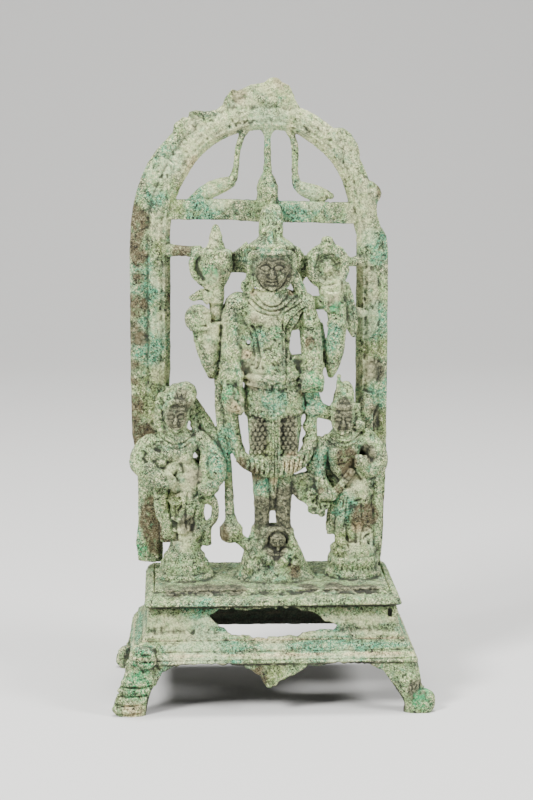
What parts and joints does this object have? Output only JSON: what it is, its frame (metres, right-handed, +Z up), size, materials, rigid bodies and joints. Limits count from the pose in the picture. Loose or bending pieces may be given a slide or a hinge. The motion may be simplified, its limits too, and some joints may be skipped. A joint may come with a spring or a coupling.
{
  "type": "vishnu altarpiece figure",
  "caption": "Cast bronze four-armed Vishnu with mace and disc between two attendants in an openwork arch frame, on a hollow four-footed plinth.",
  "frame": {"origin": "centre of the bounding box at the ground under the four feet", "axes": "+X to the viewer's right, +Y from the figures' faces to their backs, +Z up"},
  "size_m": [0.1298, 0.0728, 0.25],
  "materials": {
    "patinated_bronze_plinth": "cast bronze under a pale grey-green and beige corrosion crust with bright malachite spots",
    "patinated_bronze": "cast bronze under a pale grey-green granular corrosion crust, teal patches and dark pits"
  },
  "bodies": {
    "root": {"plinth": "patinated_bronze_plinth", "figure_group": "patinated_bronze"}
  },
  "joints": []
}
